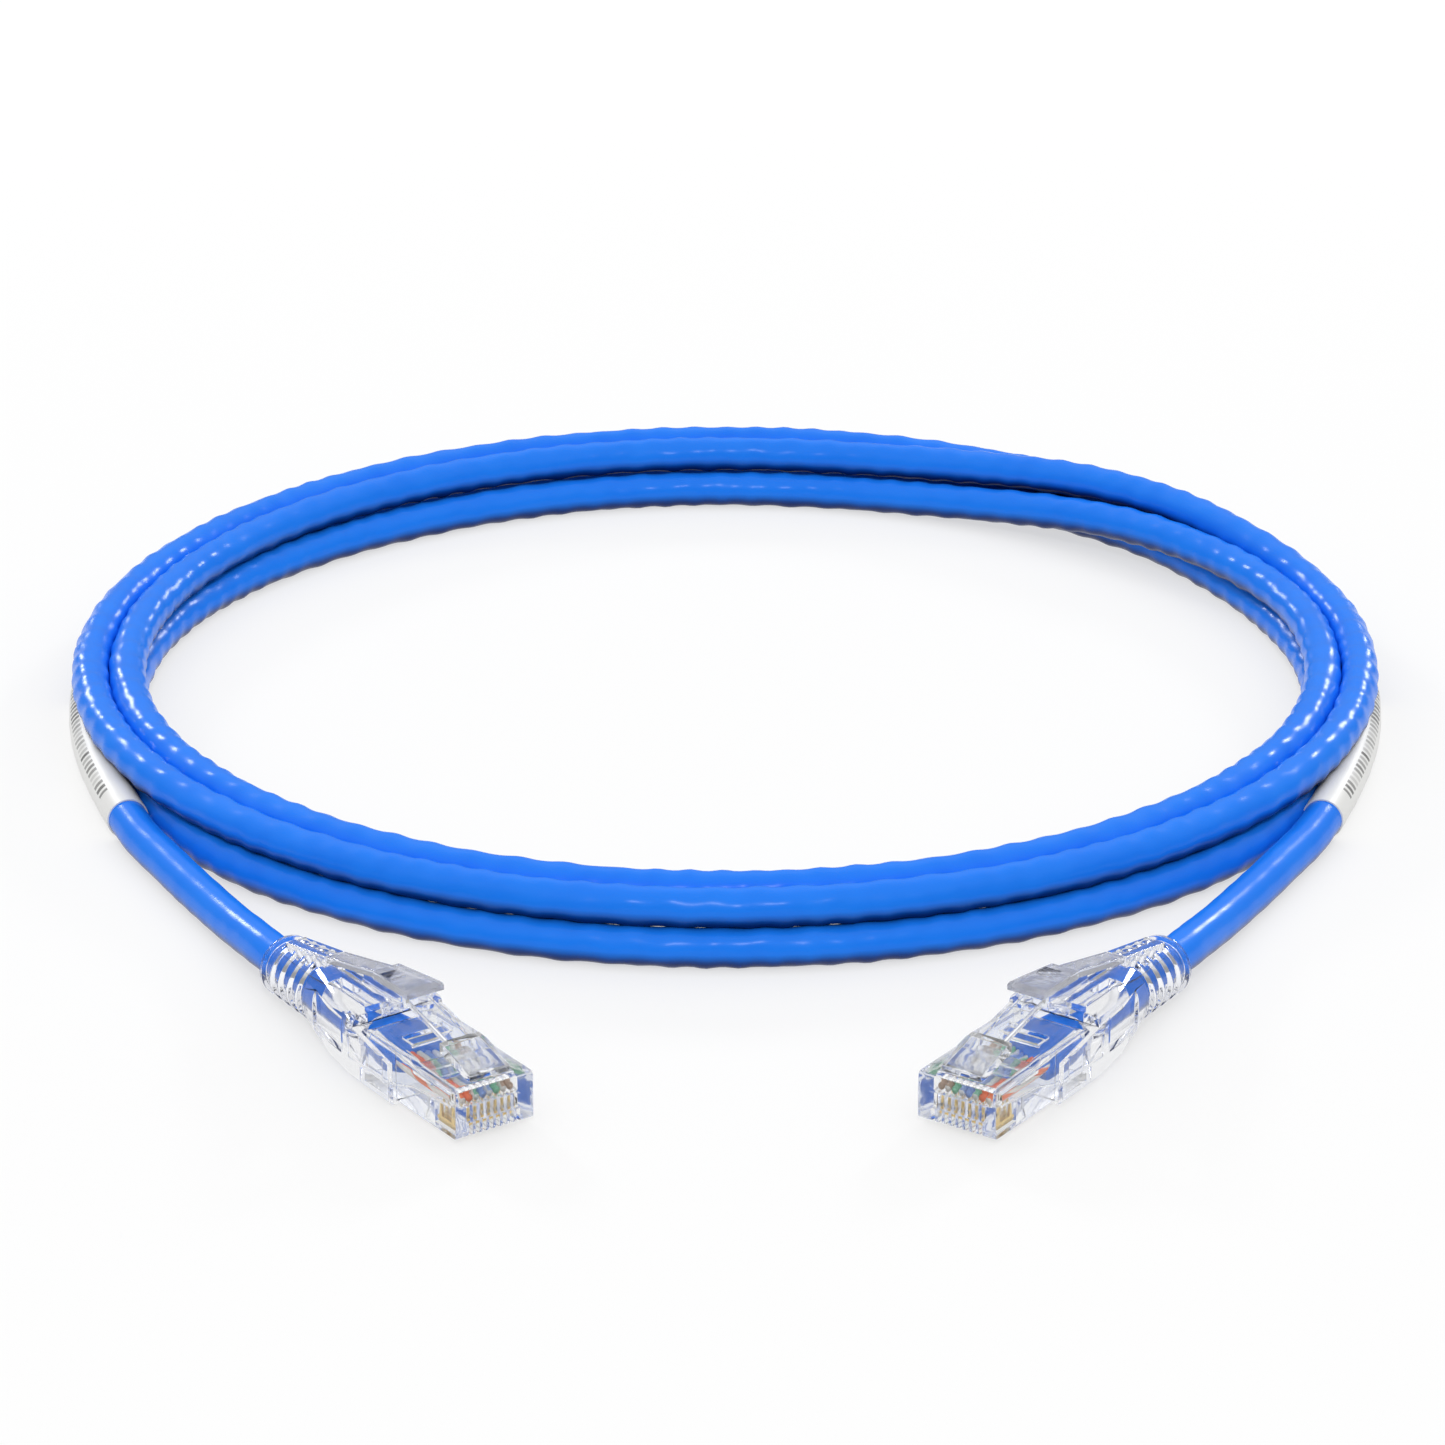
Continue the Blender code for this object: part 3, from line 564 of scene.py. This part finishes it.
for side, letter in ((-1, "a"), (1, "b")):
    # Jacket end: the last of the jacket, crushed flat and creased along its middle by the strain-relief bar.
    back = np.concatenate([np.linspace(14.3, 28.0, 56), [29.0, 30.3]])
    stations = [14.3, 14.7, 16.0, 18.5, 21.0, 24.0, 27.0, 30.0]
    half = np.interp(back, stations, [4.15, 4.4, 4.45, 4.45, 4.25, 3.6, 3.0, 2.75])
    low = np.interp(back, stations, [3.2, 2.95, 2.75, 2.4, 2.1, 1.8, 1.68, 1.65])
    high = np.interp(back, stations, [4.8, 5.0, 5.2, 5.9, 6.55, 6.95, 7.13, 7.15])
    power = np.interp(back, stations, [0.62, 0.62, 0.62, 0.66, 0.74, 0.86, 0.96, 1.0])[:, None]
    crease = np.interp(back, stations, [0.55, 0.75, 0.95, 1.0, 0.75, 0.25, 0.0, 0.0])[:, None]
    turn = np.arange(56)[None, :] * 2 * np.pi / 56
    cos, sin = np.cos(turn), np.sin(turn)
    x = half[:, None] * np.sign(cos) * np.abs(cos) ** power
    z = (low + high)[:, None] / 2 + (high - low)[:, None] / 2 * np.sign(sin) * np.abs(sin) ** power
    z = z + crease * np.clip(1 - np.abs(x) / half[:, None] * 1.15, -0.15, 1) * (sin > 0)
    slant = ease(-back, -20.5, -14.3)[:, None] * (1.0 - 0.42 * x)
    skin_points = np.stack([x, back[:, None] + slant, z], axis=-1)
    jacket_end = made_of(f"crimped_jacket_{letter}", loft(list(skin_points)), blue_pvc, 45)
    fitted(jacket_end, side, f"jacket_end_{letter}")

    # Plug housing: one clear moulding with contact slots, a wire chamber and a strain-relief window.
    side_view = [
        (0.5, 0.8),
        (21.46, 0.8),
        (21.46, 7.9),
        (11.0, 7.9),
        (9.0, 7.4),
        (0.5, 7.4),
        (0.15, 7.25),
        (0.0, 6.9),
        (0.0, 1.3),
        (0.15, 0.95),
    ]
    housing = made_of(f"plug_body_{letter}", prism(side_view, 5.84), clear_pc)
    chamber = [
        rounded(2.4, 4.45, 4.25, 6.2, 0.3, 6),
        rounded(11.0, 4.45, 3.6, 6.5, 0.4, 6),
        rounded(15.0, 4.8, 2.2, 6.9, 0.8, 6),
        rounded(22.46, 4.9, 1.5, 7.2, 1.6, 6),
    ]
    cutters = [loft(chamber), block(-3.0, 3.0, 14.6, 17.2, 5.5, 9.0)]
    # Seats 0.05 mm deep where the boot grips the two sides and the underside.
    cutters += [block(-7.5, -5.79, 14.2, 23, 0, 9), block(5.79, 7.5, 14.2, 23, 0, 9)]
    cutters.append(block(-7, 7, 14.2, 23, 0, 0.85))
    for way in range(8):
        x = (way - 3.5) * PITCH
        cutters.append(block(x - 0.275, x + 0.275, -1, 6.3, 0.2, 2.7))
        cutters.append(block(x - 0.275, x + 0.275, 0.9, 6.3, 2.6, 3.1))
        cutters.append(block(x - 0.275, x + 0.275, 1.0, 6.3, 2.9, 4.6))
    carve(housing, cutters)
    soften(housing, 0.1)
    fitted(housing, side, f"plug_housing_{letter}")

    order = INSULATION if side < 0 else INSULATION[::-1]
    for way in range(8):
        x = (way - 3.5) * PITCH
        blade = made_of(f"contact_blade_{letter}{way + 1}", prism(CONTACT_SIDE, 0.175, x), gold, 40)
        soften(blade, 0.03)
        fitted(blade, side, f"contact_{letter}{way + 1}")
        # Wire: laid straight over its contact, then gathered in towards the jacket.
        straight = [(x, back, 4.9) for back in (2.8, 7.0, 11.0)]
        gathered = [(x * 0.96, 13.2, 4.85), (x * 0.9, 15.2, 4.7), (x * 0.78, 17.6, 4.6)]
        line = through(np.array(straight + gathered), 0.25)
        sides = 16
        rows = np.linspace(0, 1, len(line))[:, None]
        uv = np.stack(np.broadcast_arrays(rows, np.arange(sides)[None, :] / sides), -1)
        colour = order[way][0]
        wire = tube_piece(f"conductor_{letter}{way + 1}", line, 0.46, insulations[colour], sides, uv)
        fitted(wire, side, f"wire_{letter}{way + 1}")

    # Wire guide and strain-relief bar: small clear mouldings inside the housing.
    comb_side = [(7.2, 5.45), (11.6, 5.45), (11.6, 6.1), (8.0, 6.1), (7.2, 5.8)]
    guide = made_of(f"wire_comb_{letter}", prism(comb_side, 4.1), clear_pc)
    soften(guide, 0.08)
    fitted(guide, side, f"wire_guide_{letter}")
    bar_side = [(14.95, 7.6), (14.95, 6.6), (15.4, 6.0), (16.85, 6.9), (16.85, 7.6)]
    bar = made_of(f"crimp_bar_{letter}", prism(bar_side, 2.6), clear_pc)
    soften(bar, 0.1)
    fitted(bar, side, f"strain_relief_bar_{letter}")

    # Latch: the wide locking part hinges at the nose; its narrow finger end runs back under the hood.
    wide = [(1.0, 7.75), (2.2, 7.75), (8.2, 9.1), (8.2, 10.55), (7.2, 10.45), (2.0, 9.1), (1.0, 8.6)]
    latch = made_of(f"latch_lever_{letter}", prism(wide, 3.0), clear_pc)
    carve(latch, [prism([(6.0, 8.75), (18.5, 11.55), (18.5, 12.65), (6.0, 9.9)], 1.6)], "UNION")
    soften(latch, 0.14)
    fitted(latch, side, f"latch_{letter}", f"latch_{letter}")

    # Boot tongue: a narrow springy spine that rises to a hood over the latch, with three grip grooves.
    hood = [(25.8, 12.4), (25.8, 13.7), (16.9, 14.38), (16.3, 14.33), (16.0, 14.1), (16.0, 13.4)]
    plate, plate_faces = prism(hood, 2.8)
    plate[:, 0] *= np.interp(plate[:, 1], [16.0, 25.8], [1.0, 0.72])
    tongue = made_of(f"latch_hood_{letter}", (plate, plate_faces), smoky_pvc)
    spine = prism([(38.4, 9.85), (38.4, 10.75), (25.0, 13.6), (25.0, 12.5)], 1.5)
    carve(tongue, [spine], "UNION")
    carve(tongue, [block(-1.9, 0.5, y, y + 0.4, 13.65, 15.0) for y in (21.2, 22.4, 23.6)])
    soften(tongue, 0.1)
    fitted(tongue, side, f"boot_tongue_{letter}", f"boot_tongue_{letter}")

    # Boot: soft clear PVC pushed over the plug, with side panels, open top windows and a ribbed neck.
    skins = [
        rounded(14.5, 6.9, 0.0, 8.6, 1.2),
        rounded(24.0, 6.9, 0.0, 9.45, 1.5),
        rounded(30.0, 6.4, 0.0, 9.45, 2.0),
        rounded(34.8, 5.5, 0.0, 9.35, 3.0),
        rounded(39.7, 4.65, 0.0, 9.2, 4.4),
    ]
    for rib in range(5):
        start = 39.7 + rib * 2.4
        big = 4.6 - 0.09 * rib
        middle = 4.55 - 0.04 * rib
        valley = big - 0.5
        edge = big - 0.1
        for y, r in ((0.1, valley), (1.2, valley), (1.4, edge), (1.55, big), (2.0, big), (2.2, edge)):
            skins.append(rounded(start + y, r, middle - r, middle + r, r * 0.999))
    boot = made_of(f"boot_sleeve_{letter}", loft(skins), clear_pvc)
    carve(boot, [prism([(38.7, 8.6), (48.8, 7.6), (48.8, 9.0), (38.7, 10.7)], 1.5)], "UNION")
    hollow = [
        rounded(13.5, 6.14, 0.5, 8.2, 0.2),
        rounded(22.06, 6.14, 0.5, 8.2, 0.2),
        rounded(23.06, 4.6, 1.0, 8.0, 1.5),
        rounded(26.0, 3.9, 1.25, 7.6, 2.6),
        rounded(29.5, 3.05, 1.35, 7.45, 3.04),
        rounded(56.0, 3.05, 1.35, 7.45, 3.04),
    ]
    cutters = [loft(hollow), prism([(12.5, 5.6), (23.2, 7.8), (23.2, 11), (12, 11)], 8)]
    for hand in (-1, 1):
        cutters.append(block(*sorted((hand * 1.6, hand * 3.9)), 24.8, 34.2, 6.6, 11.0))
        cutters.append(block(*sorted((hand * 6.5, hand * 8.0)), 16.0, 24.6, 3.2, 6.4))
        panel = np.array([(hand * 5.9, 26.4), (hand * 4.7, 35.8), (hand * 9.0, 35.8), (hand * 9.0, 26.4)])
        cutters.append(loft([np.column_stack([panel, np.full(4, z)]) for z in (3.0, 7.8)]))
    carve(boot, cutters)
    soften(boot, 0.12)
    fitted(boot, side, f"boot_{letter}")
